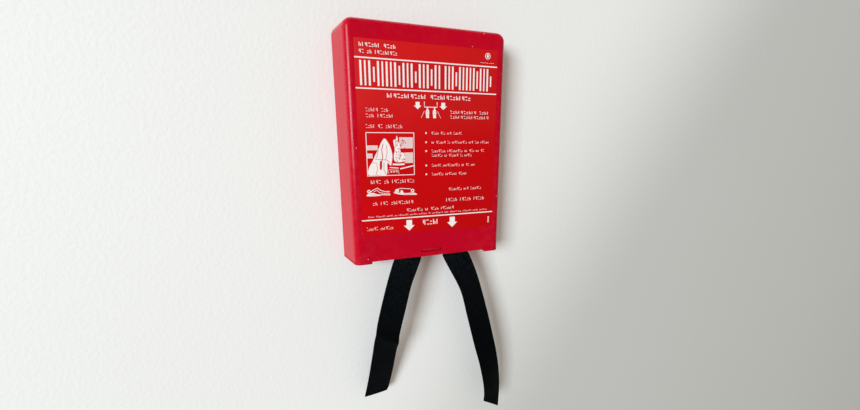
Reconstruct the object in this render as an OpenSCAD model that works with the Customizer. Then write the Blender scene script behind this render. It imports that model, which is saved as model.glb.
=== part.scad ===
// Wall-hung fire blanket in a slim rigid case. Two webbing tapes hang from the
// bottom: pulled, they draw the folded glass-fibre blanket down out of the case,
// and the blanket carries the bottom cap away with it.
// X runs along the wall to the right, Y into the wall and Z up. The origin is
// midway between the two keyholes' round ends, on the back face.

/* [Case] */
// Height of the case, from its bottom edge to its top
case_h = 240; // [238:1:250]
// Width of the case across its front face
front_w = 170; // [168:1:176]
// Width of the case across its back, where it meets the wall
back_w = 188; // [184:1:192]
// Depth of the case, from the wall to the front face
case_d = 35; // [35:0.5:40]
// Thickness of the moulded walls
wall_t = 2.2; // [1.8:0.1:2.4]
// Radius of the rounded front edges
edge_r = 7.5; // [6:0.5:9]
// Radius of the two top corners at the back
corner_r = 9; // [7:0.5:12]
// Thickness of the back plate
plate_t = 2; // [1.6:0.1:2.2]

/* [Wall fixing] */
// Height of the keyholes' round ends above the bottom edge
hang_h = 220; // [218:1:222]
// Distance between the two keyholes
keyhole_gap = 100; // [80:1:110]
// Radius of a keyhole's round end, which the screw's head passes
keyhole_r = 5; // [4.5:0.1:5.5]
// Width of a keyhole's slot, which the screw's shank slides into
keyhole_slot_w = 5; // [4:0.1:5]
// Distance from the round end's centre to the slot's far centre
keyhole_travel = 8; // [7:0.5:9]

/* [Bottom cap] */
// Thickness of the cap's floor along its rim
cap_t = 2.4; // [2:0.1:3]
// Depth of the recess under the middle of the floor
cap_recess = 1.4; // [0:0.1:1.6]
// Width of each corner lip, seen from the front
lip_w = 19; // [15:0.5:22]
// Height of the rim that plugs into the case
rim_h = 5; // [4:0.5:6]
// Width of the catch tongue between the tapes
tongue_w = 21; // [18:0.5:22]
// Height of the catch slot's lower edge above the bottom edge
catch_z = 5; // [4.5:0.1:6]
// Height of the catch slot in the front wall
catch_h = 3.4; // [3:0.1:4]

/* [Label] */
// Width of the front label
label_w = 150; // [140:1:152]
// Height of the front label
label_h = 192; // [180:1:194]
// Height of the label's lower edge above the bottom edge
label_z = 29; // [20:1:35]
// Thickness of the label's film
label_t = 0.2; // [0.1:0.05:0.3]

/* [Blanket] */
// Width of the folded blanket: an eighth of a 1200 mm sheet
pack_w = 150; // [145:1:152]
// Height of the folded blanket: a sixth of a 1200 mm sheet
pack_h = 200; // [195:1:202]
// Thickness of the folded blanket's 48 layers
pack_t = 27; // [24:0.5:27]

/* [Pull tapes] */
// Width of the webbing
tape_w = 30; // [25:1:32]
// Thickness of the webbing
tape_t = 1.4; // [1:0.1:1.4]
// Length of the tail that is sewn to the blanket, above the mouth
tail_h = 62; // [50:1:80]
// Drop of the left tape below the mouth
left_drop = 178; // [150:1:220]
// Drop of the right tape below the mouth
right_drop = 233; // [150:1:250]

/* [Hidden] */
$fn = 48;

gap = 0.25;                 // moulding clearance between two pieces
eps = 0.02;
bottom = -hang_h;           // the case's bottom edge
top = case_h - hang_h;
front = -case_d;            // the front face
inner_front = front + wall_t;

// The sides lean outwards from the rounded front edges to the wall.
edge_x = front_w / 2 - edge_r;
edge_y = front + edge_r;
lean_run = [back_w / 2 - edge_x, -edge_y];
lean = acos(edge_r / norm(lean_run)) - atan2(lean_run[1], lean_run[0]);
side_wall = wall_t / cos(lean);

// Half the case's width at depth y, on the leaning part of the sides.
function half_w(y) = back_w / 2 + y * tan(lean);

// Catches that hold the back plate in the shell.
snap_z = [30, 120, 205];    // heights of the snap arms above the bottom edge
stop_z = [60, 170];         // heights of the ledges that the plate rests on
snap_w = 9;
snap_y = -9.2;              // where a snap arm hooks over its rib
snap_x = half_w(snap_y) - side_wall - 1.9;

// The tapes leave the case behind its front wall, between the cap's lips.
pack_front = -4 - pack_t;
pack_bottom = bottom + rim_h + 1.5;
tape_y = pack_front - tape_t / 2;
mouth_z = bottom - cap_t - 1;
notch_x = front_w / 2 - lip_w;
notch_y = pack_front + 0.6;
left_x = -27;
right_x = 31;

// Routes of the hanging tapes, at even steps from the mouth down to the tip:
// [middle across the wall, middle's distance from the wall, twist in degrees].
left_route = [
    [left_x, tape_y, 0], [-37.5, -33, 8], [-45.5, -33.5, 6], [-52, -32, 9],
    [-56, -26, 10], [-60, -19, 10], [-65, -12, 10]
];
right_route = [
    [right_x, tape_y, 0], [48.5, -33, 17], [59.5, -34, 13], [69.5, -34, 12],
    [79.5, -33, 17], [86, -31, 21], [86, -28, 15]
];
slices = 18;

// A point of a smooth curve through the points p, at s from 0 to 1.
function spline(p, s) =
    let (
        n = len(p) - 1,
        i = min(floor(s * n), n - 1),
        f = s * n - i,
        before = i > 0 ? p[i - 1] : 2 * p[0] - p[1],
        after = i + 2 <= n ? p[i + 2] : 2 * p[n] - p[n - 1]
    )
    p[i] + (p[i + 1] - before) / 2 * f
        + (2 * before - 5 * p[i] + 4 * p[i + 1] - after) / 2 * f * f
        + (3 * p[i] - before - 3 * p[i + 1] + after) / 2 * f * f * f;

// Corner points of a case outline in plan, drawn in by the given inset.
function corner_arc(inset, steps = 8) = [
    for (i = [0:steps])
        let (a = -lean - i * (90 - lean) / steps)
        [edge_x + (edge_r - inset) * cos(a), edge_y + (edge_r - inset) * sin(a)]
];
function reversed(list) = [for (i = [len(list) - 1:-1:0]) list[i]];
function mirrored(list) = [for (p = list) [-p[0], p[1]]];
function plan(inset) = concat(
    [[half_w(0) - inset / cos(lean), 0]],
    corner_arc(inset),
    mirrored(reversed(corner_arc(inset))),
    [[-half_w(0) + inset / cos(lean), 0]]
);

// A closed block of the case's outer shape, drawn in by the given inset and
// run past the back face and the bottom edge by the given amount.
module case_block(inset, past) {
    r = edge_r - inset;
    back_x = half_w(past) - inset / cos(lean);
    back_r = corner_r - inset;
    hull() {
        for (s = [-1, 1]) {
            translate([s * edge_x, edge_y, top - edge_r]) sphere(r = r, $fn = 36);
            translate([s * edge_x, edge_y, bottom - past])
                cylinder(r = r, h = case_h - edge_r + past, $fn = 36);
            translate([s * (back_x - back_r), past, top - inset - back_r])
                rotate([90, 0, 0]) cylinder(r = back_r, h = eps, $fn = 36);
            translate([s * (back_x - eps / 2), past - eps / 2, bottom - past + eps / 2])
                cube(eps, center = true);
        }
    }
}

// Ribs inside the leaning sides: one beyond each snap arm, and the ledges.
module side_ribs() {
    for (s = [-1, 1]) {
        for (z = snap_z)
            translate([s * (snap_x + 5), snap_y + 1.1, bottom + z])
                cube([10, 2.2, snap_w], center = true);
        for (z = stop_z)
            translate([s * (half_w(0) - 2), -plate_t - gap - 0.8, bottom + z])
                cube([10, 1.6, 14], center = true);
    }
}

module front_shell() {
    color("crimson") {
        difference() {
            case_block(0, 0);
            case_block(wall_t, 1);
            translate([-tongue_w / 2 - 1, front - 1, bottom + catch_z])
                cube([tongue_w + 2, wall_t + 2, catch_h]);
        }
        intersection() {
            case_block(wall_t / 2, 0);
            side_ribs();
        }
    }
}

module keyhole() {
    rotate([90, 0, 0]) {
        cylinder(r = keyhole_r, h = 20, center = true);
        translate([0, keyhole_travel, 0])
            cylinder(r = keyhole_slot_w / 2, h = 20, center = true);
        translate([-keyhole_slot_w / 2, 0, -10])
            cube([keyhole_slot_w, keyhole_travel, 20]);
    }
}

// One snap arm, standing forward from the plate with its hook outwards.
module snap_arm() {
    translate([snap_x - 2 - gap, snap_y - 2.6, -snap_w / 2])
        cube([2, -snap_y + 2.6 - plate_t + eps, snap_w]);
    translate([snap_x - gap - eps, snap_y - 2.2, -snap_w / 2])
        cube([1, 2.2 - gap, snap_w]);
}

module back_plate() {
    half = half_w(-plate_t) - side_wall - gap;
    plate_top = top - wall_t - gap;
    r = corner_r - wall_t;
    color("firebrick") difference() {
        union() {
            translate([-half, -plate_t, bottom])
                cube([2 * half, plate_t, plate_top - r - bottom]);
            translate([-half + r, -plate_t, bottom])
                cube([2 * (half - r), plate_t, plate_top - bottom]);
            for (s = [-1, 1]) {
                translate([s * (half - r), 0, plate_top - r])
                    rotate([90, 0, 0]) cylinder(r = r, h = plate_t);
                translate([s * keyhole_gap / 2, 0, keyhole_travel / 2])
                    rotate([90, 0, 0]) cylinder(r = 12, h = plate_t + 1);
            }
            for (x = [-45, 0, 45])
                translate([x - 0.8, -plate_t - 1.2, bottom + 12])
                    cube([1.6, 1.2 + eps, 190]);
            for (z = snap_z, m = [0, 1])
                mirror([m, 0, 0]) translate([0, 0, bottom + z]) snap_arm();
        }
        for (s = [-1, 1])
            translate([s * keyhole_gap / 2, 0, 0]) keyhole();
    }
}

module bottom_cap() {
    rim_in = wall_t + gap;
    tongue_y = inner_front + gap;
    color("crimson") translate([0, 0, bottom - 0.1]) {
        // Floor, cut back between the lips where the tapes come out, and
        // hollowed underneath.
        difference() {
            translate([0, 0, -cap_t]) linear_extrude(cap_t) {
                difference() {
                    polygon(plan(0));
                    translate([-notch_x, front - 1])
                        square([2 * notch_x, notch_y - front + 1]);
                }
                translate([-tongue_w / 2, tongue_y])
                    square([tongue_w, notch_y - tongue_y + 1]);
            }
            translate([-notch_x - eps, front - 1, -cap_t - 1])
                cube([2 * (notch_x + eps), case_d - 5, cap_recess + 1]);
        }
        // Rim that plugs into the case, open at the back and between the lips.
        translate([0, 0, -eps]) linear_extrude(rim_h) difference() {
            polygon(plan(rim_in));
            polygon(plan(rim_in + 1.5));
            translate([-notch_x, front]) square([2 * notch_x, case_d / 2]);
            translate([-back_w / 2, -4]) square([back_w, 8]);
        }
        // Two tabs in front of the back plate.
        for (s = [-1, 1])
            translate([s * 22 - 6, -plate_t - gap - 1.5, -eps])
                cube([12, 1.5, rim_h]);
        // Catch tongue, with the hook that sits in the front wall's slot.
        translate([-tongue_w / 2, tongue_y, -eps])
            cube([tongue_w, 1.2, catch_z + catch_h + 1]);
        translate([-tongue_w / 2, front + 0.6, catch_z + 0.4])
            cube([tongue_w, tongue_y - front - 0.6 + eps, catch_h - 0.7]);
    }
}

module front_label() {
    color("red") translate([-label_w / 2, front - label_t, bottom + label_z])
        cube([label_w, label_t, label_h]);
}

// The folded stack, with round folds along its top and bottom.
module blanket() {
    fold_r = 8;
    color("gainsboro") translate([-pack_w / 2, 0, 0])
        rotate([90, 0, 90]) linear_extrude(pack_w) {
            translate([pack_front, pack_bottom + fold_r])
                square([pack_t, pack_h - 2 * fold_r]);
            translate([pack_front + fold_r, pack_bottom])
                square([pack_t - 2 * fold_r, pack_h]);
            for (y = [pack_front + fold_r, pack_front + pack_t - fold_r])
                for (z = [pack_bottom + fold_r, pack_bottom + pack_h - fold_r])
                    translate([y, z]) circle(r = fold_r);
        }
}

// The end of a tape that is sewn flat to the front of the blanket.
module tape_tail(x) {
    tail_bottom = mouth_z + tape_t / 2 + 0.1;
    color("black") translate([x - tape_w / 2, tape_y - tape_t / 2, tail_bottom])
        cube([tape_w, tape_t, bottom + tail_h - tail_bottom]);
}

// A box of thread with a cross in it, through the tail and the blanket.
module box_stitching(x) {
    thread = 0.9;
    w = tape_w - 6;
    h = 30;
    low = bottom + tail_h - h - 4;
    color("dimgray") translate([x, tape_y - tape_t / 2, low])
        rotate([90, 0, 0]) linear_extrude(0.25) {
            difference() {
                translate([-w / 2, 0]) square([w, h]);
                translate([-w / 2 + thread, thread])
                    square([w - 2 * thread, h - 2 * thread]);
            }
            for (s = [-1, 1])
                translate([0, h / 2]) rotate(s * atan2(h, w))
                    square([norm([w, h]) - 2, thread], center = true);
        }
}

// A hanging tape: level slices of webbing joined down its route.
module pull_tape(route, drop) {
    corners = [
        for (i = [0:slices])
            let (
                s = i / slices,
                p = spline(route, s),
                ahead = spline(route, min(s + 0.01, 1)),
                behind = spline(route, max(s - 0.01, 0)),
                fall = drop * (min(s + 0.01, 1) - max(s - 0.01, 0)),
                wide = tape_w / 2 / cos(atan2(ahead[0] - behind[0], fall)),
                across = [cos(p[2]), sin(p[2]), 0],
                through = [-sin(p[2]), cos(p[2]), 0]
            )
            for (k = [[-1, -1], [1, -1], [1, 1], [-1, 1]])
                [p[0], p[1], mouth_z - drop * s]
                    + k[0] * wide * across + k[1] * tape_t / 2 * through
    ];
    last = 4 * slices;
    color("black") polyhedron(
        points = corners,
        faces = concat(
            [[3, 2, 1], [3, 1, 0]],
            [[last, last + 1, last + 2], [last, last + 2, last + 3]],
            [
                for (i = [0:slices - 1], k = [0:3], half = [0, 1])
                    let (a = 4 * i + k, b = 4 * i + (k + 1) % 4)
                    half == 0 ? [a, b, b + 4] : [a, b + 4, a + 4]
            ]
        )
    );
}

module tape_tail_left() { tape_tail(left_x); }
module tape_tail_right() { tape_tail(right_x); }
module tape_stitching_left() { box_stitching(left_x); }
module tape_stitching_right() { box_stitching(right_x); }
module pull_tape_left() { pull_tape(left_route, left_drop); }
module pull_tape_right() { pull_tape(right_route, right_drop); }

front_shell();
back_plate();
bottom_cap();
front_label();
blanket();
tape_tail_left();
tape_tail_right();
tape_stitching_left();
tape_stitching_right();
pull_tape_left();
pull_tape_right();
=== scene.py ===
"""Looks of the wall-hung fire blanket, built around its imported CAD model.

Metres, in the CAD frame: X along the wall to the right, Y into the wall and Z up.
Small sizes are written in millimetres, and MM turns them into metres.
"""

import math
import random

import bmesh
import bpy
from mathutils import Matrix, Vector, noise
from mathutils.geometry import tessellate_polygon


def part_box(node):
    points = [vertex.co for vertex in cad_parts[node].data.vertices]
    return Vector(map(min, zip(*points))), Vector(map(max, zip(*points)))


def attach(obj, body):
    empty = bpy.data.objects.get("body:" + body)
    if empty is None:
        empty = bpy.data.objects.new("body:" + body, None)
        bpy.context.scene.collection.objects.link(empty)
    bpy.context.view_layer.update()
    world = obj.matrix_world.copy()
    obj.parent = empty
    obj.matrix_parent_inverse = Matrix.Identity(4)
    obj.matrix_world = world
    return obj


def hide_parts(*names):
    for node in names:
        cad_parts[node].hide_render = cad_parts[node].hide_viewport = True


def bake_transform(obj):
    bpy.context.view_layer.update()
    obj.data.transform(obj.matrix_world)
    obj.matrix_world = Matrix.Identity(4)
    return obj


MM = 0.001

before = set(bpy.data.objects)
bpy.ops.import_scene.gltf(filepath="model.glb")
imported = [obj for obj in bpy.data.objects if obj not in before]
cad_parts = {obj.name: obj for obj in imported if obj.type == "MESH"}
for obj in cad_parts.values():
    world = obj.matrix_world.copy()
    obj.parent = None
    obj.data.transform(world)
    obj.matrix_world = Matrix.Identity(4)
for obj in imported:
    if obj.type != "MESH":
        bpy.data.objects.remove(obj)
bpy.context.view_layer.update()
scene = bpy.context.scene

# ---------------------------------------------------------------- sizes

CASE_LOW, CASE_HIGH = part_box("front_shell")
LABEL_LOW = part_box("front_label")[0]
PACK_LOW, PACK_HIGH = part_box("blanket")

BOTTOM, TOP = CASE_LOW.z, CASE_HIGH.z
FRONT, BACK_HALF = CASE_LOW.y, CASE_HIGH.x
FRONT_HALF = 85 * MM
WALL = 2.2 * MM
EDGE_R = 7.5 * MM
CORNER_R = 9 * MM
EDGE_X, EDGE_Y = FRONT_HALF - EDGE_R, FRONT + EDGE_R
LEAN_RUN = Vector((BACK_HALF - EDGE_X, -EDGE_Y))
LEAN = math.acos(EDGE_R / LEAN_RUN.length) - math.atan2(LEAN_RUN.y, LEAN_RUN.x)

SLOT_W, SLOT_H, SLOT_Z = 23 * MM, 3.4 * MM, BOTTOM + 5 * MM

TAPE_W = 30 * MM
TAIL_TOP, MOUTH = BOTTOM + 62 * MM, BOTTOM - 3.4 * MM
TAPE_Y = PACK_LOW.y - 0.7 * MM

# ---------------------------------------------------------------- camera

CAMERA_AT = (-98.9 * MM, -352.6 * MM, -97.4 * MM)
YAW, PITCH, ROLL = math.radians(17.07), math.radians(10.99), math.radians(-0.26)
LENS = 12.95  # on a 36 mm sensor


def add_camera():
    ahead = Vector(
        (math.sin(YAW) * math.cos(PITCH), math.cos(YAW) * math.cos(PITCH), -math.sin(PITCH))
    )
    right = Vector((math.cos(YAW), -math.sin(YAW), 0))
    up = right.cross(ahead)
    right, up = (
        right * math.cos(ROLL) + up * math.sin(ROLL),
        up * math.cos(ROLL) - right * math.sin(ROLL),
    )
    camera = bpy.data.objects.new("camera", bpy.data.cameras.new("camera"))
    turn = Matrix((right, up, -ahead)).transposed().to_4x4()
    camera.matrix_world = Matrix.Translation(CAMERA_AT) @ turn
    camera.data.lens = LENS
    camera.data.clip_start = 0.01
    scene.collection.objects.link(camera)
    scene.camera = camera


add_camera()

# ---------------------------------------------------------------- materials


class Material:
    """A node material round one Principled shader. Textures read metres."""

    def __init__(self, name, **inputs):
        self.data = bpy.data.materials.new(name)
        self.data.use_nodes = True
        self.nodes = self.data.node_tree.nodes
        self.links = self.data.node_tree.links
        self.shader = self.nodes["Principled BSDF"]
        self.place = self.node("ShaderNodeTexCoord").outputs["Object"]
        self.set(**inputs)

    def node(self, kind, inputs=None, **settings):
        made = self.nodes.new(kind)
        for key, value in settings.items():
            setattr(made, key, value)
        for key, value in (inputs or {}).items():
            self.feed(made.inputs[key], value)
        return made

    def feed(self, socket, value):
        if isinstance(value, bpy.types.NodeSocket):
            self.links.new(value, socket)
        else:
            socket.default_value = value

    def set(self, **inputs):
        for key, value in inputs.items():
            self.feed(self.shader.inputs[key.replace("_", " ")], value)

    def math(self, operation, *values):
        made = self.node("ShaderNodeMath", operation=operation)
        for socket, value in zip(made.inputs, values):
            self.feed(socket, value)
        return made.outputs[0]

    def noise(self, size, detail=2.0, stretch=(1, 1, 1)):
        """Noise from 0 to 1 whose features are about size metres across."""
        scaled = self.node("ShaderNodeMapping", {"Vector": self.place, "Scale": stretch})
        return self.node(
            "ShaderNodeTexNoise",
            {"Vector": scaled.outputs[0], "Scale": 1 / size, "Detail": detail},
        ).outputs["Fac"]

    def spread(self, value, low, high, out_low, out_high, curve="LINEAR"):
        """Maps low..high to out_low..out_high, held at the ends."""
        return self.node(
            "ShaderNodeMapRange",
            {
                "Value": value, "From Min": low, "From Max": high,
                "To Min": out_low, "To Max": out_high,
            },
            interpolation_type=curve,
        ).outputs[0]

    def mix(self, share, a, b):
        made = self.node("ShaderNodeMix", data_type="RGBA")
        for socket, value in ((made.inputs[0], share), (made.inputs[6], a), (made.inputs[7], b)):
            self.feed(socket, (*value, 1) if isinstance(value, tuple) else value)
        return made.outputs[2]

    def bump(self, height, depth):
        """Relief of the given depth in metres, on top of any relief so far."""
        made = self.node("ShaderNodeBump", {"Height": height, "Distance": depth, "Strength": 1.0})
        before = self.shader.inputs["Normal"]
        if before.is_linked:
            self.feed(made.inputs["Normal"], before.links[0].from_socket)
        self.feed(before, made.outputs[0])

    def uv(self, layer):
        """The across and along sockets of a UV map that is in metres."""
        place = self.node("ShaderNodeUVMap", uv_map=layer).outputs[0]
        split = self.node("ShaderNodeSeparateXYZ", {"Vector": place})
        return split.outputs[0], split.outputs[1]


def moulded_plastic(name, colour, pale, roughness, grain):
    """Satin moulded plastic: a colour that drifts a little, under a fine spark grain.

    It is scuffed towards the pale colour where a mesh's wear attribute is high; that lighter colour
    is part wear and part painted sheen.
    """
    m = Material(name, Specular_IOR_Level=0.19)
    drift = m.noise(90 * MM, 2)
    wear_and_sheen = m.node("ShaderNodeAttribute", attribute_name="wear_and_sheen").outputs["Fac"]
    # Part wear, part painted sheen: the scuffs lighten the colour where the mask is high.
    rubbed_and_sheen = m.math("MULTIPLY", wear_and_sheen, m.spread(m.noise(9 * MM, 5), 0.42, 0.62, 0, 1))
    body = m.mix(drift, colour, tuple(c * 1.06 for c in colour))
    m.set(
        Base_Color=m.mix(m.math("MULTIPLY", rubbed_and_sheen, 0.08), body, pale),
        Roughness=m.math(
            "ADD", m.spread(m.noise(14 * MM, 4), 0.3, 0.7, roughness - 0.015, roughness + 0.02),
            m.math("MULTIPLY", rubbed_and_sheen, 0.06),
        ),
    )
    m.bump(m.noise(0.7 * MM, 2), grain)
    m.bump(m.noise(40 * MM, 1), 0.03 * MM)
    return m.data


def label_film():
    """Printed film: paler red above, which is a painted reflection, and deeper below, with a soft,
    uneven border.
    """
    m = Material("label_film", Specular_IOR_Level=0.11)
    drift = m.spread(m.noise(60 * MM, 3), 0.35, 0.65, 0, 1)
    fibre = m.noise(0.9 * MM, 2)
    height = m.node("ShaderNodeSeparateXYZ", {"Vector": m.place}).outputs[2]
    uneven = m.math("ADD", height, m.spread(m.noise(35 * MM, 2), 0.3, 0.7, -12 * MM, 12 * MM))
    # Painted reflection: the film is made paler towards its top; the deeper red below is its own
    # colour.
    painted_light_above = m.spread(uneven, -110 * MM, -50 * MM, 0, 1, "SMOOTHSTEP")
    pale = m.mix(drift, (0.575, 0.0075, 0.0084), (0.615, 0.0070, 0.0090))
    deep = m.mix(drift, (0.575, 0.0004, 0.0022), (0.615, 0.0003, 0.0028))
    m.set(
        Base_Color=m.mix(painted_light_above, deep, pale),
        Roughness=m.spread(fibre, 0.3, 0.7, 0.38, 0.46),
    )
    m.bump(m.noise(16 * MM, 2), 0.10 * MM)
    m.bump(fibre, 0.006 * MM)
    return m.data


def ink(name, colour, thin):
    """Printed ink of slightly uneven cover, from its full colour to that of a thin coat."""
    m = Material(name, IOR=1.46, Roughness=0.45)
    cover = m.spread(m.noise(1.1 * MM, 3), 0.3, 0.7, 0, 1)
    m.set(Base_Color=m.mix(cover, colour, thin))
    m.bump(m.noise(0.8 * MM, 2), 0.006 * MM)
    return m.data


def webbing():
    """Black polyester webbing: ribs of yarn across and along, with a tight selvedge."""
    m = Material("webbing", Specular_IOR_Level=0.05)
    across, along = m.uv("weave")
    weft = m.math("SINE", m.math("MULTIPLY", along, 2 * math.pi / (1.1 * MM)))
    warp = m.math("SINE", m.math("MULTIPLY", across, 2 * math.pi / (1.6 * MM)))
    yarn = m.spread(m.math("MULTIPLY", weft, warp), -1, 1, 0, 1)
    selvedge = m.spread(m.math("ABSOLUTE", across), 13.2 * MM, 13.9 * MM, 0, 1)
    ribs = m.spread(weft, -1, 1, 0, 1)
    field = m.math("MULTIPLY", yarn, m.math("SUBTRACT", 1.0, selvedge))
    height = m.math("ADD", field, m.math("MULTIPLY", ribs, selvedge))
    fuzz = m.noise(0.5 * MM, 4)
    # Painted sheen: the webbing is made lighter near the top of its hanging run, where light
    # catches it.
    painted_light_above = m.spread(along, 0.07, 0.19, 0.9, 0)
    painted_sheen = m.math("MULTIPLY", painted_light_above, m.spread(m.noise(3 * MM, 4), 0.35, 0.65, 0, 1))
    tone_and_sheen = m.mix(painted_sheen, (0.0009, 0.0014, 0.0018), (0.0075, 0.0105, 0.0125))
    # The raised yarn is painted lighter than its hollows: the weave's pattern, with a painted
    # highlight on its crowns.
    m.set(
        Base_Color=m.mix(m.math("MULTIPLY", height, fuzz), tone_and_sheen, (0.0045, 0.0065, 0.0078)),
        Roughness=m.spread(fuzz, 0.3, 0.7, 0.5, 0.62),
    )
    m.bump(height, 0.22 * MM)
    m.bump(fuzz, 0.05 * MM)
    return m.data


def glass_cloth():
    """White woven glass fibre: fine plain weave with slubs."""
    m = Material("glass_cloth", IOR=1.5, Sheen_Weight=0.15, Sheen_Roughness=0.5)
    across, along = m.uv("weave")
    warp = m.math("SINE", m.math("MULTIPLY", across, 2 * math.pi / (1.8 * MM)))
    weft = m.math("SINE", m.math("MULTIPLY", along, 2 * math.pi / (1.8 * MM)))
    yarn = m.spread(m.math("MULTIPLY", warp, weft), -1, 1, 0, 1)
    slub = m.spread(m.noise(6 * MM, 3, (1, 1, 6)), 0.35, 0.7, 0, 1)
    cloth = m.mix(yarn, (0.52, 0.505, 0.47), (0.78, 0.77, 0.74))
    m.set(
        Base_Color=m.mix(m.math("MULTIPLY", slub, 0.3), cloth, (0.84, 0.83, 0.80)),
        Roughness=m.spread(slub, 0, 1, 0.55, 0.7),
    )
    m.bump(yarn, 0.25 * MM)
    m.bump(m.noise(35 * MM, 3, (1, 1, 0.5)), 2.5 * MM)
    return m.data


def sewing_thread(name, dark, light):
    m = Material(name, IOR=1.5, Roughness=0.6, Sheen_Weight=0.2)
    twist = m.noise(0.35 * MM, 2)
    m.set(Base_Color=m.mix(twist, dark, light))
    m.bump(twist, 0.05 * MM)
    return m.data


CASE_RED = moulded_plastic(
    "case_plastic", (0.51, 0.0005, 0.0150), (0.66, 0.06, 0.085), 0.21, 0.003 * MM
)
# A shaded copy of the case's plastic: its deeper red is painted shade for the cap's rim, which
# faces down, away from the light.
CAP_RED_SHADED = moulded_plastic(
    "cap_plastic_shaded", (0.47, 0.0005, 0.0150), (0.60, 0.05, 0.075), 0.52, 0.006 * MM
)
PLATE_RED = moulded_plastic(
    "plate_plastic", (0.40, 0.0012, 0.0130), (0.55, 0.05, 0.070), 0.42, 0.030 * MM
)
FILM = label_film()
WHITE_INK = ink("white_ink", (0.97, 0.91, 0.89), (0.90, 0.79, 0.77))
RED_INK = ink("red_ink", (0.56, 0.010, 0.010), (0.62, 0.013, 0.013))
WEBBING = webbing()
GLASS = glass_cloth()
BLACK_THREAD = sewing_thread("black_thread", (0.012, 0.014, 0.016), (0.05, 0.054, 0.06))
WHITE_THREAD = sewing_thread("white_thread", (0.34, 0.33, 0.30), (0.60, 0.58, 0.54))

# ---------------------------------------------------------------- mesh helpers


class Shape:
    """Points and faces that become one mesh, which make() welds unless told not to."""

    def __init__(self):
        self.points, self.faces, self.uvs = [], [], []

    def add(self, points, uvs=None):
        start = len(self.points)
        self.points += [Vector(p) for p in points]
        self.uvs += uvs or [(0, 0)] * len(points)
        return list(range(start, len(self.points)))

    def grid(self, rows, closed=False):
        """Quads between rows of point numbers; closed joins each row's ends."""
        for a, b in zip(rows, rows[1:]):
            n = len(a)
            for i in range(n if closed else n - 1):
                j = (i + 1) % n
                self.faces.append((a[i], a[j], b[j], b[i]))

    def flat(self, loops):
        """A flat face inside loops[0] with the other loops as holes; loops hold point numbers."""
        order = [i for loop in loops for i in loop]
        for face in tessellate_polygon([[self.points[i] for i in loop] for loop in loops]):
            self.faces.append(tuple(order[i] for i in face))

    def box(self, low, high):
        x, y, z = zip(low, high)
        corners = self.add([(x[i], y[j], z[k]) for i in (0, 1) for j in (0, 1) for k in (0, 1)])
        for face in (
            (0, 1, 3, 2), (4, 6, 7, 5), (0, 4, 5, 1), (2, 3, 7, 6), (0, 2, 6, 4), (1, 5, 7, 3),
        ):
            self.faces.append(tuple(corners[i] for i in face))

    def make(self, name, material, body=None, slot=None, wear_and_sheen=None, uv=None, weld=True):
        mesh = bpy.data.meshes.new(name)
        mesh.from_pydata(self.points, [], self.faces)
        if uv:
            layer = mesh.uv_layers.new(name=uv)
            for loop in mesh.loops:
                layer.data[loop.index].uv = self.uvs[loop.vertex_index]
        if wear_and_sheen:
            values = mesh.attributes.new("wear_and_sheen", "FLOAT", "POINT")
            for i, p in enumerate(self.points):
                values.data[i].value = wear_and_sheen(p)
        b = bmesh.new()
        b.from_mesh(mesh)
        if weld:
            bmesh.ops.remove_doubles(b, verts=b.verts, dist=0.0005 * MM)
        bmesh.ops.recalc_face_normals(b, faces=b.faces)
        b.to_mesh(mesh)
        b.free()
        mesh.shade_smooth()
        mesh.set_sharp_from_angle(angle=math.radians(35))
        mesh.materials.append(material)
        piece = bpy.data.objects.new(name, mesh)
        scene.collection.objects.link(piece)
        if body:
            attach(piece, body)
        return piece


def soften(piece, width):
    """Rounds a piece's sharp edges, and keeps its big faces flat to the eye."""
    weld = piece.modifiers.new("weld", "WELD")
    weld.merge_threshold = 0.002 * MM
    bevel = piece.modifiers.new("bevel", "BEVEL")
    bevel.width = width
    bevel.segments = 2
    bevel.limit_method = "ANGLE"
    bevel.angle_limit = math.radians(35)
    bevel.harden_normals = True
    bevel.use_clamp_overlap = True


def spline(points, share):
    """A point of a smooth curve through the points, at share from 0 to 1."""
    points = [Vector(p) for p in points]
    last = len(points) - 1
    i = min(int(share * last), last - 1)
    f = share * last - i
    before = points[i - 1] if i > 0 else 2 * points[0] - points[1]
    after = points[i + 2] if i + 2 <= last else 2 * points[last] - points[last - 1]
    a, b = points[i], points[i + 1]
    return (
        a
        + (b - before) / 2 * f
        + (2 * before - 5 * a + 4 * b - after) / 2 * f * f
        + (3 * a - before - 3 * b + after) / 2 * f**3
    )


def smooth(x):
    x = min(max(x, 0.0), 1.0)
    return x * x * (3 - 2 * x)


# ---------------------------------------------------------------- case

ARC = 10  # steps round an edge or a corner


def half_width(y):
    return BACK_HALF + y * math.tan(LEAN)


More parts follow.
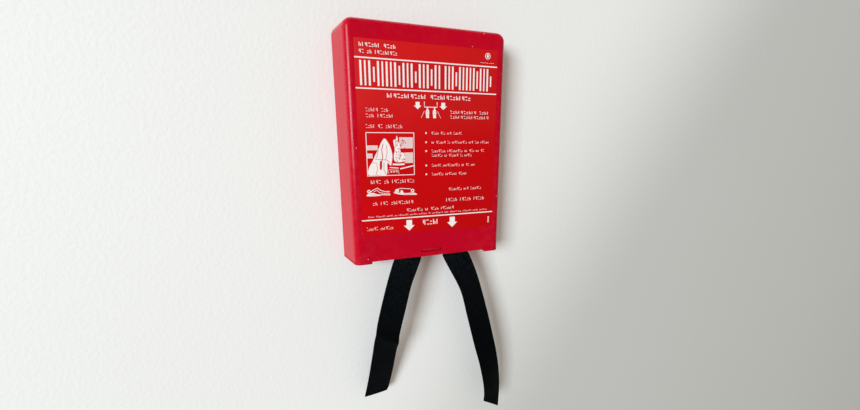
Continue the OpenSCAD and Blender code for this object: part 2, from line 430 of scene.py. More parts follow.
def case_rows(inset):
    """A skin of the case, drawn in by inset: rows of points from the back edge to
    the front face, each up the left side, over the top and down the right side."""
    r = EDGE_R - inset
    side_turn = Vector((EDGE_X + r * math.cos(LEAN), EDGE_Y - r * math.sin(LEAN)))
    stations = []
    for s in (0, 0.5, 0.93):
        y = side_turn.y * s
        stations.append((half_width(y) - inset / math.cos(LEAN), y, TOP - inset, EDGE_Y * s))
    for i in range(ARC + 1):
        a = LEAN + (math.pi / 2 - LEAN) * i / ARC
        b = math.pi / 2 * i / ARC
        stations.append(
            (
                EDGE_X + r * math.cos(a), EDGE_Y - r * math.sin(a),
                TOP - EDGE_R + r * math.cos(b), EDGE_Y - r * math.sin(b),
            )
        )
    flat_in = 1.5 * MM
    stations.append((EDGE_X - flat_in, FRONT + inset, TOP - EDGE_R - flat_in, FRONT + inset))
    rows = []
    for x, y_side, z, y_top in stations:
        r = max(CORNER_R - inset - (TOP - inset - z), 0.6 * MM)
        left = [Vector((-x, y_side, BOTTOM)), Vector((-x, y_side, z - r - 2 * MM))]
        for i in range(ARC + 1):
            a = math.pi / 2 * i / ARC
            y = y_side + (y_top - y_side) * smooth(i / ARC)
            left.append(Vector((-x + r - r * math.cos(a), y, z - r + r * math.sin(a))))
        left.append(Vector((-x + r + 2 * MM, y_top, z)))
        rows.append(left + [Vector((-p.x, p.y, p.z)) for p in reversed(left)])
    return rows


def slot_loop(y):
    """The catch slot's outline at depth y, with rounded corners."""
    r = 0.6 * MM
    x, z = SLOT_W / 2 - r, SLOT_H / 2 - r
    middle = Vector((0, y, SLOT_Z + SLOT_H / 2))
    loop = []
    for quarter, (sx, sz) in enumerate(((1, 1), (-1, 1), (-1, -1), (1, -1))):
        for i in range(4):
            a = math.pi / 2 * (quarter + i / 3)
            loop.append(middle + Vector((sx * x + r * math.cos(a), 0, sz * z + r * math.sin(a))))
    return loop


def add_shell():
    shape = Shape()
    skins = [[shape.add(row) for row in case_rows(inset)] for inset in (0, WALL)]
    slots = [shape.add(slot_loop(y)) for y in (FRONT, FRONT + WALL)]
    for skin, slot in zip(skins, slots):
        shape.grid(skin)
        shape.flat([skin[-1], slot])
    outer, inner = skins
    shape.grid([outer[0], inner[0]])
    shape.grid(slots, closed=True)
    for end in (0, -1):
        shape.grid([[row[end] for row in outer], [row[end] for row in inner]])
    shape.grid([[outer[-1][0], outer[-1][-1]], [inner[-1][0], inner[-1][-1]]])

    # Wear along the front edges, the top and the bottom; on the edges' roundings and the top it is
    # also a painted sheen.
    def wear_and_sheen(p):
        beside_edge = (abs(p.x) - EDGE_X - 4 * MM) / (5 * MM)
        near_edge = math.exp(-(beside_edge**2)) * smooth((-12 * MM - p.y) / (15 * MM))
        near_top = smooth((p.z - TOP + 9 * MM) / (8 * MM))
        near_bottom = smooth((BOTTOM + 2 * MM - p.z) / (2 * MM))
        return min(1.0, near_edge + near_top * 0.7 + near_bottom * 0.6)

    shell = shape.make("case_shell", CASE_RED, "case", "case_plastic", wear_and_sheen)
    soften(shell, 0.35 * MM)
    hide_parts("front_shell")


def add_ribs():
    """Snap ribs and ledges inside the leaning sides."""
    shape = Shape()
    for side in (-1, 1):
        for y, z, deep, tall, reach in (
            (-8.1, 30, 2.2, 9, 4.5), (-8.1, 120, 2.2, 9, 4.5), (-8.1, 205, 2.2, 9, 4.5),
            (-3.05, 60, 1.6, 14, 6), (-3.05, 170, 1.6, 14, 6),
        ):
            out = half_width(y * MM) - 1.2 * MM
            xs = sorted((side * out, side * (out - reach * MM)))
            shape.box(
                (xs[0], (y - deep / 2) * MM, BOTTOM + (z - tall / 2) * MM),
                (xs[1], (y + deep / 2) * MM, BOTTOM + (z + tall / 2) * MM),
            )
    ribs = shape.make("case_ribs", CASE_RED, "case", "case_plastic")
    soften(ribs, 0.3 * MM)


def disc_points(x, z, r, y, steps=20):
    angles = [2 * math.pi * i / steps for i in range(steps)]
    return [(x + r * math.cos(a), y, z + r * math.sin(a)) for a in angles]


def add_gate_mark():
    """The mould's gate mark below the label: a shallow ring with a sheared nub."""
    shape = Shape()
    z = BOTTOM + 13 * MM
    # Radius and height of each ring in millimetres, from the outside in.
    profile = (
        (1.9, 0.0), (1.85, 0.10), (1.5, 0.12), (1.35, 0.03),
        (0.75, 0.03), (0.6, 0.22), (0.25, 0.26),
    )
    rings = [shape.add(disc_points(0, z, r * MM, FRONT - h * MM + 0.01 * MM)) for r, h in profile]
    shape.grid(rings, closed=True)
    shape.flat([rings[-1]])
    shape.flat([rings[0]])
    shape.make("gate_mark", CASE_RED, "case", "case_plastic")


def add_specks_and_glint():
    """Small pale marks on the moulding, made as low, uneven chips; the one at (-70.6, 3) is a
    painted highlight.
    """
    shape = Shape()
    # The mark at (-70.6, 3) is a painted highlight near the lower left corner; the others are
    # specks.
    for x, z, r in (
        (-74.5, 31.4, 0.6), (-70.6, 3, 0.35), (58.4, 236, 0.35),
        (45.2, 222.4, 0.3), (-77, 120, 0.35), (79.5, 64, 0.4),
    ):
        rings = []
        for share, h in ((1.0, 0.0), (0.7, 0.10), (0.3, 0.16)):
            disc = disc_points(x * MM, BOTTOM + z * MM, r * share * MM, FRONT - h * MM, 9)
            ring = [
                (px + noise.noise((px * 900, pz * 900, 0)) * 0.3 * MM, py, pz)
                for px, py, pz in disc
            ]
            rings.append(shape.add(ring))
        shape.grid(rings, closed=True)
        shape.flat([rings[-1]])
        shape.flat([rings[0]])
    shape.make("case_specks_and_glint", WHITE_INK, "case", "case_plastic")


add_shell()
add_ribs()
add_gate_mark()
add_specks_and_glint()

for node, material, width in (
    ("back_plate", PLATE_RED, 0.3 * MM),
    ("bottom_cap", CAP_RED_SHADED, 0.45 * MM),
    ("front_label", FILM, 0.04 * MM),
):
    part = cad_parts[node]
    part.data.materials.clear()
    part.data.materials.append(material)
    part.data.shade_smooth()
    part.data.set_sharp_from_angle(angle=math.radians(30))
    soften(part, width)

# ---------------------------------------------------------------- label print

# Print is drawn in millimetres: x from the label's middle, h up from the case's bottom edge.


class Print:
    """Flat shapes of ink on the label, each a thin solid."""

    thick = 0.05 * MM
    # Stand-ins for letters: strokes (left, low, right, high) as shares of the pitch and the height.
    BLOCKS = (
        ((0.12, 0.1, 0.12, 0.9), (0.55, 0.1, 0.55, 0.52)),
        ((0.1, 0.88, 0.5, 0.88), (0.3, 0.1, 0.6, 0.1)),
        ((0.16, 0.1, 0.16, 0.9),),
        ((0.1, 0.1, 0.52, 0.1), (0.2, 0.62, 0.55, 0.62)),
        ((0.12, 0.4, 0.12, 0.9), (0.53, 0.1, 0.53, 0.9)),
    )
    # The blocks that stay tall in every style.
    TALL = (1, 4)
    # A line's style: its stroke's width as a share of the pitch, and how tall its low blocks are.
    STYLES = {"bold": (0.24, 1), "plain": (0.17, 1), "small": (0.2, 0.72)}

    def __init__(self, name, material, layer=0):
        self.name, self.material = name, material
        self.base = LABEL_LOW.y + 0.02 * MM - layer * self.thick
        self.shape = Shape()
        self.count = 0

    def area(self, outline, *holes):
        self.count += 1
        # One of seven rises, so that shapes drawn one after another don't share a plane.
        rise = self.thick + (20 + self.count % 7 * 2) * 0.001 * MM
        sides = []
        for depth in (0, rise):
            y = self.base - depth
            side = []
            for loop in (outline, *holes):
                side.append(self.shape.add([(x * MM, y, BOTTOM + h * MM) for x, h in loop]))
            sides.append(side)
        for side in sides:
            self.shape.flat(side)
        for back, front in zip(*sides):
            self.shape.grid([back, front], closed=True)

    def bar(self, x0, h0, x1, h1):
        self.area([(x0, h0), (x1, h0), (x1, h1), (x0, h1)])

    def disc(self, x, h, r, hole=None, steps=16):
        angles = [2 * math.pi * i / steps for i in range(steps)]

        def ring(radius):
            return [(x + radius * math.cos(a), h + radius * math.sin(a)) for a in angles]

        self.area(ring(r), *([ring(hole)] if hole else []))

    def blob(self, points, steps=4):
        """A smooth closed outline through the points."""
        n = len(points)
        ring = [Vector(points[i % n]) for i in range(-1, n + 2)]
        outline = []
        for i in range(1, n + 1):
            for k in range(steps):
                p = spline(ring[i - 1 : i + 3], (1 + k / steps) / 3)
                outline.append((p.x, p.y))
        self.area(outline)

    def stroke(self, points, width):
        """A line of about even width along the points."""
        points = [Vector(p) for p in points]
        left, right = [], []
        for i, p in enumerate(points):
            run = points[min(i + 1, len(points) - 1)] - points[max(i - 1, 0)]
            side = Vector((-run.y, run.x)).normalized() * width / 2
            left.append(tuple(p + side))
            right.append(tuple(p - side))
        self.area(left + right[::-1])

    def arrow(self, x, h_low, h_high, width):
        """A block arrow that points down."""
        neck = h_low + (h_high - h_low) * 0.5
        stem = width * 0.26
        self.area(
            [
                (x - stem, h_high), (x - stem, neck), (x - width / 2, neck), (x, h_low),
                (x + width / 2, neck), (x + stem, neck), (x + stem, h_high),
            ]
        )

    def hatch(self, x0, h0, x1, h1, pitch=0.9):
        """A pale tint, made of fine upright lines of ink."""
        for i in range(int((x1 - x0) / pitch)):
            self.bar(x0 + i * pitch, h0, x0 + i * pitch + 0.7 * pitch, h1)

    def words(self, x0, x1, h, tall, counts, style):
        """A line of stand-in text: unreadable blocks, counts of them to a word."""
        pitch = (x1 - x0) / (sum(counts) + len(counts) - 1)
        weight, low_size = self.STYLES[style]
        half = weight * pitch / 2
        x, step = x0, 0
        for count in counts:
            for _ in range(count):
                kind = (step * 7 + int(h)) % len(self.BLOCKS)
                size = 1 if kind in self.TALL else low_size
                for left, low, right, high in self.BLOCKS[kind]:
                    self.bar(
                        x + left * pitch - half, h + (low * size - 0.5) * tall - half,
                        x + right * pitch + half, h + (high * size - 0.5) * tall + half,
                    )
                step += 1
                x += pitch
            x += pitch

    def make(self):
        self.shape.make(self.name, self.material, "case", "label_film", weld=False)


def add_rules_and_arrows():
    p = Print("print_rules", WHITE_INK)
    for h in (204.0, 176.4, 45.8):
        p.bar(-75, h - 0.6, 74.6, h + 0.6)
    p.arrow(-14.1, 158.4, 165.6, 8)
    p.arrow(13.5, 158.4, 165.6, 8)
    p.arrow(-25, 31.2, 43.0, 12)
    p.arrow(24.7, 31.2, 43.0, 12)
    p.make()


def add_title():
    """The title band: tall blocks in place of letters."""
    p = Print("print_title", WHITE_INK)
    low, high = 179.0, 201.6
    tops = (0, 9, 0, 0, 5, 0, 12, 0, 7, 0)
    for x0, x1, count in ((-70.6, 11.2, 10), (15.0, 69.2, 7)):
        pitch = (x1 - x0 + 1.2) / count
        for i in range(count):
            x = x0 + i * pitch
            p.bar(x, low, x + 0.23 * pitch, high)
            p.bar(x + 0.52 * pitch, low + tops[i] * 0.4, x + 0.71 * pitch, high - tops[i] * 0.6)
    p.make()


def add_text():
    p = Print("print_text", WHITE_INK)
    for x0, x1, h, tall, counts, style in (
        (-70.3, -34.8, 215.6, 3.4, (7, 4), "bold"),
        (-70.3, -33.4, 209.6, 3.4, (2, 2, 9), "bold"),
        (-45.2, 45.2, 170.7, 4.0, (12, 13), "bold"),
        (-66.6, -43.8, 156.8, 3.4, (5, 3), "plain"),
        (-66.6, -38.3, 151.2, 3.4, (3, 6), "plain"),
        (21.3, 67.4, 156.4, 3.0, (10, 4), "plain"),
        (21.3, 67.0, 151.4, 3.0, (15,), "plain"),
        (-67.2, -29.9, 141.1, 3.8, (4, 2, 7), "plain"),
        (-64.3, -18.0, 85.6, 4.0, (4, 2, 9), "plain"),
        (-63.1, -19.5, 63.0, 3.8, (2, 3, 9), "plain"),
        (17.3, 64.2, 62.8, 3.8, (5, 5, 5), "plain"),
        (-9.5, 9.8, 39.2, 5.8, (5,), "bold"),
        (0.7, 35.3, 134.8, 2.8, (5, 3, 3, 6), "small"),
        (0.7, 68.2, 125.4, 2.8, (2, 6, 2, 10, 3, 3, 6), "small"),
        (0.7, 62.3, 116.3, 2.8, (8, 9, 2, 3, 2, 2), "small"),
        (0.7, 47.7, 111.6, 2.8, (7, 2, 6, 2, 5), "small"),
        (0.7, 51.7, 101.2, 2.8, (6, 11, 2, 2, 3), "small"),
        (0.7, 42.1, 91.8, 2.8, (7, 7, 5), "small"),
        (20.7, 59.9, 74.8, 3.2, (8, 3, 7), "small"),
        (-27.2, 27.0, 54.2, 3.4, (8, 2, 4, 7), "small"),
        (-70.4, -42.0, 36.4, 3.8, (6, 7), "small"),
        (-68.4, 67.7, 49.2, 1.5, (5, 7, 5, 2, 8, 6, 7, 2, 9, 4, 6, 3, 8, 5, 7), "small"),
        (54.5, 71.0, 207.6, 0.8, (9, 6), "small"),
    ):
        p.words(x0, x1, h, tall, counts, style)
    for h in (134.8, 125.4, 116.3, 101.2, 91.8):
        p.disc(-5.4, h, 0.95)
    for i in range(6):
        p.bar(68.8, 33.2 + i * 1.25, 70.6, 33.2 + i * 1.25 + 0.7)
    p.disc(63.3, 214.4, 3.2, 2.5)
    p.blob([(63.3, 216.4), (64.6, 214.2), (63.3, 212.6), (62.0, 214.2)])
    p.make()


def add_pull_picture():
    """Two hands that pull the tapes from the case's mouth."""
    p = Print("print_pull_picture", WHITE_INK)
    p.stroke([(-7.0, 166.0), (-7.0, 160.8), (6.8, 160.8), (6.8, 166.0)], 0.8)
    for side, x in ((-1, -3.7), (1, 3.9)):
        p.stroke([(x, 160.8), (x + side * 0.3, 157.6)], 1.3)
        p.blob(
            [
                (x - 1.3, 158.0), (x + 1.1, 158.4), (x + 1.9, 155.6), (x + 1.5, 152.2),
                (x + 1.7, 150.2), (x - 1.3, 150.0), (x - 1.5, 152.4), (x - 1.9, 155.0),
            ]
        )
        p.stroke([(x + side * 3.4, 156.6), (x + side * 6.8, 150.0)], 0.35)
    p.make()
    folds = Print("print_pull_fingers", RED_INK, 1)
    for x in (-3.7, 3.9):
        for h in (156.6, 155.2, 153.8):
            folds.stroke([(x - 0.9, h), (x + 0.9, h - 0.4)], 0.3)
    folds.make()


def add_hob_picture():
    """A blanket held in front of a burning pan, in a frame."""
    p = Print("print_hob_picture", WHITE_INK)
    p.area(
        [(-67.6, 91.6), (-18.2, 91.6), (-18.2, 135.2), (-67.6, 135.2)],
        [(-66.9, 92.3), (-18.9, 92.3), (-18.9, 134.5), (-66.9, 134.5)],
    )
    p.hatch(-34.0, 119.2, -19.0, 130.4)
    p.hatch(-28.6, 104.2, -19.0, 115.0)
    p.hatch(-66.8, 117.6, -55.4, 122.4)
    p.hatch(-66.8, 109.6, -60.6, 114.4)
    p.blob(
        [
            (-49.0, 129.2), (-45.2, 124.6), (-42.6, 118.6), (-41.4, 112.0), (-42.2, 105.6),
            (-43.4, 101.8), (-46.8, 104.4), (-47.8, 93.0), (-57.0, 92.8), (-66.2, 93.0),
            (-65.6, 100.0), (-61.8, 106.4), (-58.6, 113.0), (-55.0, 119.6), (-52.6, 125.0),
        ]
    )
    p.blob(
        [
            (-38.4, 105.6), (-40.0, 112.0), (-38.8, 118.0), (-40.2, 127.0),
            (-37.6, 128.2), (-36.4, 132.0), (-35.0, 126.4), (-33.6, 121.6),
            (-32.6, 115.4), (-29.4, 114.6), (-28.6, 109.6), (-28.8, 106.0),
        ]
    )
    p.stroke([(-41.4, 103.2), (-35.0, 102.8), (-29.0, 103.2)], 1.7)
    p.stroke([(-44.6, 100.0), (-35.4, 99.2)], 0.9)
    p.stroke([(-33.6, 98.4), (-18.8, 101.4)], 1.2)
    p.stroke([(-45.8, 93.8), (-45.6, 97.8), (-35.6, 97.0), (-35.0, 93.4)], 0.4)
    for x in (-43.0, -40.2, -37.4):
        p.disc(x, 95.6, 0.9, 0.4, 12)
    p.make()
    lines = Print("print_hob_lines", RED_INK, 1)
    lines.stroke([(-50.6, 124.0), (-52.2, 118.0), (-51.4, 111.0), (-52.4, 106.0)], 0.7)
    lines.stroke([(-47.2, 122.6), (-46.8, 115.0), (-48.4, 108.0)], 0.4)
    lines.stroke(
        [
            (-55.6, 118.0), (-57.2, 111.4), (-59.0, 108.4),
            (-53.0, 108.2), (-47.2, 107.6), (-44.0, 104.8),
        ],
        0.5,
    )
    lines.stroke([(-62.8, 105.4), (-57.6, 104.6), (-57.0, 98.0), (-58.8, 93.4)], 0.4)
    lines.blob([(-54.4, 106.0), (-52.4, 106.4), (-52.4, 100.2), (-53.2, 98.0), (-54.6, 98.6)])
    lines.stroke([(-50.2, 105.4), (-50.6, 98.0), (-48.6, 93.4)], 0.5)
    spots = random.Random(5)
    for _ in range(70):
        x, h = spots.uniform(-38.0, -27.6), spots.uniform(105.0, 128.0)
        lines.blob([(x, h + 0.9), (x + 0.4, h), (x, h - 0.6), (x - 0.35, h)], 2)
    lines.make()


def add_clothing_pictures():
    """Two lying people under a blanket, each a head, a body and a cover."""
    p = Print("print_clothing_pictures", WHITE_INK)
    p.disc(-66.6, 76.0, 1.8, 0.8)
    p.blob(
        [(-68.8, 71.4), (-67.2, 73.8), (-62.6, 74.6), (-59.0, 73.2), (-53.8, 71.6), (-60.0, 71.0)]
    )
    p.stroke(
        [(-64.8, 75.8), (-61.6, 77.8), (-57.8, 79.2), (-54.8, 76.8), (-50.6, 75.4), (-45.2, 75.2)],
        0.7,
    )
    p.stroke(
        [(-61.4, 75.8), (-58.4, 77.0), (-55.8, 74.4), (-50.2, 73.4), (-46.2, 73.6), (-44.8, 71.4)],
        0.6,
    )
    p.stroke([(-54.6, 72.4), (-49.0, 71.8), (-45.2, 71.6)], 0.8)
    p.blob(
        [
            (-41.0, 73.4), (-38.4, 74.4), (-34.4, 73.2), (-27.0, 72.6), (-20.0, 72.8),
            (-16.4, 71.4), (-16.6, 70.4), (-24.0, 70.6), (-33.0, 71.2),
        ]
    )
    p.blob([(-39.8, 74.0), (-38.8, 77.0), (-36.4, 77.4), (-35.4, 75.2), (-36.6, 73.8)])
    p.blob([(-33.8, 73.0), (-33.4, 75.8), (-31.8, 75.6), (-30.8, 72.8)])
    p.stroke([(-36.8, 77.0), (-33.8, 78.0), (-28.0, 77.4), (-22.6, 77.0)], 0.6)
    p.disc(-20.8, 75.0, 1.9, 0.8)
    p.make()
    lines = Print("print_clothing_lines", RED_INK, 1)
    lines.stroke([(-66.4, 72.6), (-62.0, 72.4), (-58.4, 72.2)], 0.4)
    lines.stroke([(-39.6, 73.6), (-37.4, 75.6), (-36.6, 73.0)], 0.35)
    lines.stroke([(-30.0, 71.6), (-24.6, 71.6), (-19.4, 71.8)], 0.35)
    lines.make()


add_rules_and_arrows()
add_title()
add_text()
add_pull_picture()
add_hob_picture()
add_clothing_pictures()

# ---------------------------------------------------------------- blanket

# The sheet is 1.2 m square: folded in eight across, then in six down.

SHEET = 1.2
LAYERS, PANELS = 8, 6
PACK_HALF = SHEET / LAYERS / 2
BUNDLE = (PACK_HIGH.y - PACK_LOW.y - 0.8 * MM) / PANELS
LAYER = BUNDLE / LAYERS
CLOTH_T = 0.4 * MM


def across_path():
    """The sheet's first fold: (x, depth in the bundle, distance along the sheet)."""
    path, along = [], 0.0
    for layer in range(LAYERS):
        way = 1 if layer % 2 == 0 else -1
        depth = (layer + 0.5) * LAYER
        for i in range(9):
            path.append((way * PACK_HALF * (i / 4 - 1), depth, along + SHEET / LAYERS * i / 8))
        along += SHEET / LAYERS
        if layer < LAYERS - 1:
            for i in (1, 2):
                a = math.pi * i / 3
                out = way * (PACK_HALF + LAYER / 2 * math.sin(a))
                path.append((out, depth + LAYER / 2 * (1 - math.cos(a)), along))
    return path


def down_path(depth):
    """The bundle's second fold for a layer at that depth: (y, z, distance along)."""
    low, high = PACK_LOW.z + BUNDLE + 1 * MM, PACK_HIGH.z - BUNDLE - 1 * MM
    start = PACK_LOW.y + 0.4 * MM
    path = []
    for panel in range(PANELS):
        up = panel % 2 == 0
        y = start + panel * BUNDLE + (depth if up else BUNDLE - depth)
        ends = (low, high) if up else (high, low)
        if panel == 0:
            ends = (PACK_LOW.z + 1.5 * MM, high)
        if panel == PANELS - 1:
            ends = (high, PACK_LOW.z + 1.5 * MM)
        for i in range(13):
            z = ends[0] + (ends[1] - ends[0]) * i / 12
            path.append((y, z, SHEET / PANELS * (panel + i / 12)))
        if panel < PANELS - 1:
            r = BUNDLE - depth if up else depth
            for i in range(1, 7):
                a = math.pi * i / 7
                turn = r * math.sin(a)
                z = ends[1] + (turn if up else -turn)
                path.append((y + r * (1 - math.cos(a)), z, SHEET / PANELS * (panel + 1)))
    return path


def ruffle(x, y, z):
    """Small unevenness of the folded pack, kept inside the case."""
    wave = noise.noise((x * 14, z * 10, y * 30))
    fine = noise.noise((x * 60, z * 45, y * 900))
    edge = smooth((abs(x) - 60 * MM) / (15 * MM))
    high = smooth((z - PACK_HIGH.z + 30 * MM) / (25 * MM))
    return Vector(
        (
            x - math.copysign(edge * (0.9 + 0.9 * fine) * MM, x),
            y + (0.12 * wave + 0.04 * fine) * MM,
            z - high * (0.9 + 0.9 * noise.noise((x * 25, 3, y * 300))) * MM,
        )
    )


def add_blanket():
    shape = Shape()
    columns = []
    for x, depth, u in across_path():
        column = [(ruffle(x, y, z), (u, v)) for y, z, v in down_path(depth)]
        columns.append(shape.add([p for p, _ in column], [uv for _, uv in column]))
    shape.grid(columns)
    blanket = shape.make("blanket_cloth", GLASS, "blanket", "glass_cloth", uv="weave", weld=False)
    solid = blanket.modifiers.new("thickness", "SOLIDIFY")
    solid.thickness = CLOTH_T
    solid.offset = 0
    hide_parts("blanket")
    return blanket


blanket = add_blanket()

# ---------------------------------------------------------------- tapes


class Tape:
    """A pull tape: a straight tail sewn to the blanket, then a hanging run."""

    # Share across and half the thickness in millimetres, from an edge's bead to the middle.
    PROFILE = (
        (-1, 0.12), (-0.985, 0.5), (-0.95, 0.66), (-0.89, 0.62),
        (-0.84, 0.55), (-0.5, 0.53), (0, 0.53),
    )

    def __init__(self, side, x, drop, route, cut, relief):
        self.name = side
        self.x, self.drop, self.route = x * MM, drop * MM, route
        self.cut, self.relief = cut, relief

    def middle(self, fall):
        """(x, y, twist) of the middle line at a fall below the mouth; the tail is above it."""
        if fall <= 0:
            lead = smooth(1 + fall / (16 * MM))
            slant = (self.middle(1 * MM).x - self.x) / MM
            return Vector((self.x + slant * fall * lead, TAPE_Y, 0))
        x, y, twist = spline(self.route, min(fall / self.drop, 1))
        return Vector((x * MM, y * MM, math.radians(twist)))

    def point(self, fall, a, b):
        """A point at share a across and distance b through the webbing."""
        at = self.middle(fall)
        reach = 4 * MM
        run = self.middle(fall + reach) - self.middle(fall - reach)
        slant = math.atan2(run.x, 2 * reach)
        half = TAPE_W / 2 / math.cos(slant) if fall > -reach else TAPE_W / 2
        across = Vector((math.cos(at.z), math.sin(at.z), 0))
        through = Vector((-math.sin(at.z), math.cos(at.z), 0))
        lift = self.relief(fall / MM, a) * MM * smooth(fall / (20 * MM))
        return Vector((at.x, at.y, MOUTH - fall)) + across * a * half + through * (b + lift)

    def length(self, fall):
        """Distance along the middle line from the tail's top to a fall."""
        steps = 60
        falls = [MOUTH - TAIL_TOP + (fall - MOUTH + TAIL_TOP) * i / steps for i in range(steps + 1)]
        line = [self.middle(f).xy.to_3d() - Vector((0, 0, f)) for f in falls]
        return sum((q - p).length for p, q in zip(line, line[1:]))

    def make(self):
        front = [*self.PROFILE, *((-a, t) for a, t in reversed(self.PROFILE[:-1]))]
        ring = [(a, -t) for a, t in front] + [(a, t) for a, t in reversed(front)]
        tail = MOUTH - TAIL_TOP
        tail_rows, hang_rows = 14, 84
        falls = [tail - tail * i / tail_rows for i in range(tail_rows)]
        falls += [self.drop * i / hang_rows for i in range(hang_rows + 1)]
        lengths = [self.length(f) for f in falls]
        shape = Shape()
        rows = []
        for fall, length in zip(falls, lengths):
            points, uvs = [], []
            for a, t in ring:
                near_end = smooth((fall / self.drop - 0.8) / 0.2) if fall > 0 else 0
                short = self.cut(a) * MM * near_end
                points.append(self.point(fall - short, a, t * MM))
                uvs.append((a * TAPE_W / 2, length - short))
            rows.append(shape.add(points, uvs))
        shape.grid(rows, closed=True)
        for row in (rows[0], rows[-1]):
            last = len(ring) - 1
            for i in range(len(front) - 1):
                shape.faces.append((row[i], row[i + 1], row[last - 1 - i], row[last - i]))
        name = f"tape_{self.name}"
        tape = shape.make(f"{name}_webbing", WEBBING, slot="webbing", uv="weave")
        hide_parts(f"tape_tail_{self.name}", f"pull_tape_{self.name}")
        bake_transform(tape)
        self.length(self.drop)


def left_relief(fall, a):
    """A soft crease across the left tape, then a slight cup below it."""
    line = fall - 93 - 10 * a
    return -(1.9 + 0.5 * a) * math.exp(-((line / 6) ** 2)) + 0.5 * a * a * smooth((fall - 100) / 30)


def right_relief(fall, a):
    return 0.5 * a * a * smooth((fall - 40) / 60)


# Route points at even steps of the drop, as in the CAD model: (x, y, twist in degrees).
left = Tape(
    "left", -27, 178,
    [
        (-27, -31.7, 0), (-37.5, -33, 8), (-45.5, -33.5, 6), (-52, -32, 9),
        (-56, -26, 10), (-60, -19, 10), (-65, -12, 10),
    ],
    lambda a: 5 * smooth((a - 0.86) / 0.14) - 1.6 * (1 + a) / 2,
    left_relief,
)
right = Tape(
    "right", 31, 233,
    [
        (31, -31.7, 0), (48.5, -33, 17), (59.5, -34, 13), (69.5, -34, 12),
        (79.5, -33, 17), (86, -31, 21), (86, -28, 15),
    ],
    lambda a: 12 - 12.5 * a,
    right_relief,
)
left.make()
right.make()

# ---------------------------------------------------------------- stitching


def add_stitch(shape, start, end, thick=0.34 * MM):
    """One stitch of thread: a short rounded bar, a little proud of the cloth."""
    run = end - start
    along = run.normalized()
    side = along.cross(Vector((0, 1, 0)))
    rings = []
    for share, size in ((0, 0.45), (0.12, 0.9), (0.5, 1.0), (0.88, 0.9), (1, 0.45)):
        at = start + run * share - Vector((0, thick * 0.35 * math.sin(math.pi * share), 0))
        rings.append(
            shape.add(
                [
                    at + (side * math.cos(a) + Vector((0, 1, 0)) * math.sin(a)) * thick / 2 * size
                    for a in (math.pi * k / 3 for k in range(6))
                ]
            )
        )
    shape.grid(rings, closed=True)
    shape.flat([rings[0]])
    shape.flat([rings[-1]])


def add_seam(shape, start, end, pitch=3.0 * MM):
    start, end = Vector(start), Vector(end)
    count = max(1, round((end - start).length / pitch))
    step = (end - start) / count
    for i in range(count):
        add_stitch(shape, start + step * (i + 0.1), start + step * (i + 0.9))


def add_box_stitching(side, x):
    """A sewn box with a cross in it, where the tail is held to the blanket."""
    shape = Shape()
    half, low, high = 12 * MM, BOTTOM + 28 * MM, BOTTOM + 58 * MM
    y = TAPE_Y - 0.56 * MM
    a, b, c, d = (x - half, y, low), (x + half, y, low), (x + half, y, high), (x - half, y, high)
    for start, end in ((a, b), (b, c), (c, d), (d, a), (a, c), (b, d)):
        add_seam(shape, start, end)
    seams = shape.make(f"box_stitching_{side}", BLACK_THREAD, "blanket", "thread")
    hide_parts(f"tape_stitching_{side}")


def add_hem():
    """Thread along the blanket's lower and left hems, on its front layer."""
    shape = Shape()
    y = PACK_LOW.y + 0.4 * MM + LAYER / 2 - CLOTH_T / 2 - 0.12 * MM
    z = PACK_LOW.z + 9 * MM
    gaps = [(left.x - 16 * MM, left.x + 16 * MM), (right.x - 16 * MM, right.x + 16 * MM)]
    edges = [-70 * MM, gaps[0][0], gaps[0][1], gaps[1][0], gaps[1][1], 70 * MM]
    for start, end in zip(edges[::2], edges[1::2]):
        add_seam(shape, (start, y, z), (end, y, z), 3.6 * MM)
    add_seam(shape, (-70 * MM, y, z), (-70 * MM, y, PACK_HIGH.z - 8 * MM), 3.6 * MM)
    return shape.make("blanket_hem_thread", WHITE_THREAD, "blanket", "thread")


add_box_stitching("left", left.x)
add_box_stitching("right", right.x)
hem = add_hem()

# ---------------------------------------------------------------- stage and light


def add_plane(name, corners, material):
    shape = Shape()
    shape.faces.append(tuple(shape.add(corners)))
    mesh = bpy.data.meshes.new(name)
    mesh.from_pydata(shape.points, [], shape.faces)
    mesh.materials.append(material)
    plane = bpy.data.objects.new(name, mesh)
    scene.collection.objects.link(plane)
    return plane


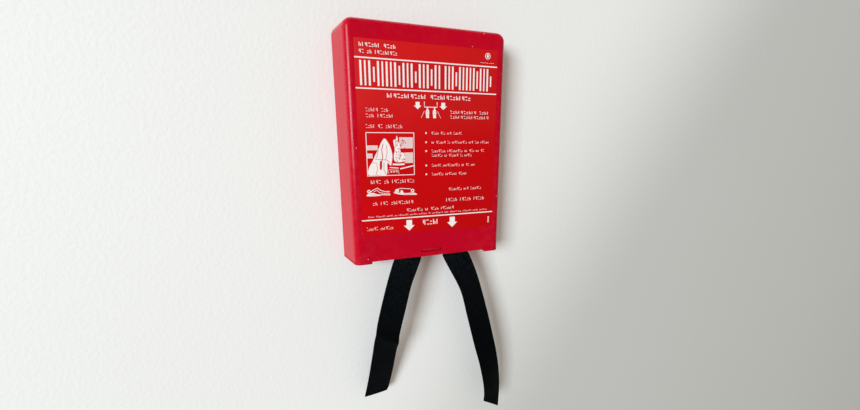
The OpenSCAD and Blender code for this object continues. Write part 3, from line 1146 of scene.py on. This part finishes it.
def wall_paint():
    """Pale painted plaster, with painted shade that dims it towards the lower right; from behind it
    can be looked through.
    """
    m = Material("wall_paint", Roughness=0.7)
    x, _, z = m.node("ShaderNodeSeparateXYZ", {"Vector": m.place}).outputs
    lower_right = m.math("SUBTRACT", m.math("MULTIPLY", x, 0.83), m.math("MULTIPLY", z, 0.56))
    paint = m.mix(m.noise(0.25, 3), (0.855, 0.84, 0.82), (0.875, 0.865, 0.845))
    # Painted shade: the paint darkens towards the lower right, where the light falls off.
    painted_shade = m.spread(lower_right, 0.15, 0.46, 0, 0.38, "SMOOTHSTEP")
    m.set(Base_Color=m.mix(painted_shade, paint, (0.10, 0.105, 0.07)))
    m.bump(m.noise(4 * MM, 4), 0.30 * MM)
    clear = m.node("ShaderNodeBsdfTransparent")
    behind = m.node("ShaderNodeNewGeometry").outputs["Backfacing"]
    seen = m.node("ShaderNodeMixShader", {0: behind, 1: m.shader.outputs[0], 2: clear.outputs[0]})
    m.links.new(seen.outputs[0], m.nodes["Material Output"].inputs["Surface"])
    return m.data


def floor_paint():
    m = Material("floor_paint", Roughness=0.6)
    m.set(Base_Color=m.mix(m.noise(0.3, 3), (0.60, 0.595, 0.58), (0.65, 0.645, 0.63)))
    return m.data


def add_light(name, at, target, size, power, colour):
    data = bpy.data.lights.new(name, "AREA")
    data.shape = "RECTANGLE"
    data.size, data.size_y = size
    data.energy = power
    data.color = colour
    light = bpy.data.objects.new(name, data)
    light.location = at
    light.rotation_euler = (Vector(target) - Vector(at)).to_track_quat("-Z", "Y").to_euler()
    scene.collection.objects.link(light)


FLOOR_Z, CEILING_Z = -1.1, 3
REACH = 5
BEHIND = 0.4 * MM
wall = add_plane(
    "wall",
    [
        (-REACH, BEHIND, FLOOR_Z), (REACH, BEHIND, FLOOR_Z),
        (REACH, BEHIND, CEILING_Z), (-REACH, BEHIND, CEILING_Z),
    ],
    wall_paint(),
)
wall.visible_shadow = False
floor = add_plane(
    "floor",
    [
        (-REACH, -REACH, FLOOR_Z), (REACH, -REACH, FLOOR_Z),
        (REACH, REACH, FLOOR_Z), (-REACH, REACH, FLOOR_Z),
    ],
    floor_paint(),
)
floor.visible_glossy = floor.visible_diffuse = False

CENTRE = (0, 0, -0.15)
add_light("window", (-5.5, -5.3, 1.13), CENTRE, (2.96, 2.96), 590, (0.835, 0.94, 1.0))
add_light("behind", (0, 1.3, -0.1), CENTRE, (1.6, 1.6), 9, (1.0, 1.0, 1.0))

world = bpy.data.worlds.new("room")
world.use_nodes = True
background = world.node_tree.nodes["Background"]
background.inputs["Color"].default_value = (1.0, 0.89, 0.78, 1)
background.inputs["Strength"].default_value = 0.43
world.cycles_visibility.glossy = False
scene.world = world
scene.view_settings.view_transform = "Standard"
